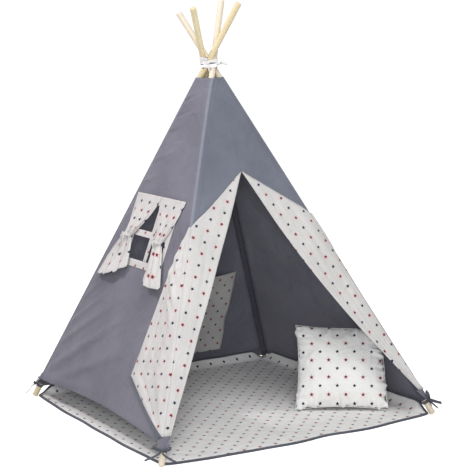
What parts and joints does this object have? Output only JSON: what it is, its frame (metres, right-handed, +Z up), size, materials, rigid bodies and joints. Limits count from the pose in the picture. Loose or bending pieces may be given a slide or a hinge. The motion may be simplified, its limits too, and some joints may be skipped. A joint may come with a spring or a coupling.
{
  "type": "play teepee",
  "caption": "Child's play teepee: crossed poles, cotton cover with an open door and curtained window, padded mat and cushion.",
  "frame": {"origin": "on the floor under the mat, close to the middle of the poles' feet", "axes": "+Z up, the door faces -Y and the window faces -X"},
  "size_m": [1.3383, 1.3043, 1.6767],
  "materials": {
    "pine": "sanded pale pine, unvarnished",
    "grey_cotton": "plain woven cotton, matte",
    "star_cotton": "white cotton with small dark red and navy stars, matte",
    "grey_tape": "grey cotton tape, matte"
  },
  "bodies": {
    "crown": {"crown_knot": "star_cotton", "crown_winding": "star_cotton"},
    "left_frame": {"curtain_front": "star_cotton", "curtain_rear": "star_cotton", "curtain_tie_front": "star_cotton", "curtain_tie_rear": "star_cotton", "foot_bow_front_left": "grey_tape", "foot_bow_rear_left": "grey_tape", "foot_tie_front_left": "grey_tape", "foot_tie_rear_left": "grey_tape", "front_wall_left": "grey_cotton", "left_wall": "grey_cotton", "mat_binding_left": "grey_tape", "mat_left": "star_cotton", "muntin_front": "star_cotton", "muntin_rear": "star_cotton", "muntin_upright": "star_cotton", "pole_front_left": "pine", "pole_rear_left": "pine", "rear_wall_left": "grey_cotton", "sleeve_front_left": "grey_cotton", "sleeve_rear_left": "grey_cotton", "window_border_bottom": "star_cotton", "window_border_front": "star_cotton", "window_border_rear": "star_cotton", "window_border_top": "star_cotton"},
    "right_frame": {"cushion": "star_cotton", "foot_bow_front_right": "grey_tape", "foot_bow_rear_right": "grey_tape", "foot_tie_front_right": "grey_tape", "foot_tie_rear_right": "grey_tape", "front_wall_right": "grey_cotton", "mat_binding_right": "grey_tape", "mat_right": "star_cotton", "pole_front_right": "pine", "pole_rear_right": "pine", "rear_pocket": "star_cotton", "rear_wall_right": "grey_cotton", "right_wall": "grey_cotton", "sleeve_front_right": "grey_cotton", "sleeve_rear_right": "grey_cotton"},
    "flap_left_inner": {"flap_left_front": "star_cotton"},
    "flap_left_outer": {"flap_left_side": "star_cotton"},
    "flap_right_inner": {"flap_right_front": "star_cotton"},
    "flap_right_outer": {"flap_right_side": "star_cotton"}
  },
  "joints": [
    {"name": "left_fold", "type": "hinge", "parent": "crown", "child": "left_frame", "pos_m": [-0.017, -0.002, 1.43], "axis": [0, 1, 0], "range_deg": [-20, 0], "deforming": ["front_wall_left", "rear_wall_left", "mat_left", "mat_binding_left", "flap_left_front", "flap_left_side"]},
    {"name": "right_fold", "type": "hinge", "parent": "crown", "child": "right_frame", "pos_m": [-0.017, -0.002, 1.43], "axis": [0, 1, 0], "range_deg": [0, 20], "deforming": ["front_wall_right", "rear_wall_right", "rear_pocket", "mat_right", "mat_binding_right", "cushion", "flap_right_front", "flap_right_side"]},
    {"name": "flap_left_swing", "type": "hinge", "parent": "left_frame", "child": "flap_left_inner", "pos_m": [0.00696, -0.1949, 1.008], "axis": [0.4899, 0.3223, 0.81], "range_deg": [0, 175], "deforming": ["flap_left_front", "flap_left_side"]},
    {"name": "flap_left_unwrap", "type": "hinge", "parent": "flap_left_inner", "child": "flap_left_outer", "pos_m": [-0.2726, -0.2737, 0.82], "axis": [0.3585, 0.3406, 0.8692], "range_deg": [0, 81.2], "deforming": ["flap_left_side"]},
    {"name": "flap_right_swing", "type": "hinge", "parent": "right_frame", "child": "flap_right_inner", "pos_m": [0.00696, -0.1949, 1.008], "axis": [0.51, -0.339, -0.7906], "range_deg": [0, 175], "deforming": ["flap_right_front", "flap_right_side"]},
    {"name": "flap_right_unwrap", "type": "hinge", "parent": "flap_right_inner", "child": "flap_right_outer", "pos_m": [0.29362, -0.27153, 0.82], "axis": [0.3839, -0.3682, -0.8468], "range_deg": [0, 84.6], "deforming": ["flap_right_side"]}
  ],
  "couplings": [
    {"joint": "right_fold", "follows": "left_fold", "ratio": -1},
    {"joint": "flap_left_unwrap", "follows": "flap_left_swing", "ratio": 0.4637},
    {"joint": "flap_right_unwrap", "follows": "flap_right_swing", "ratio": 0.4828}
  ]
}
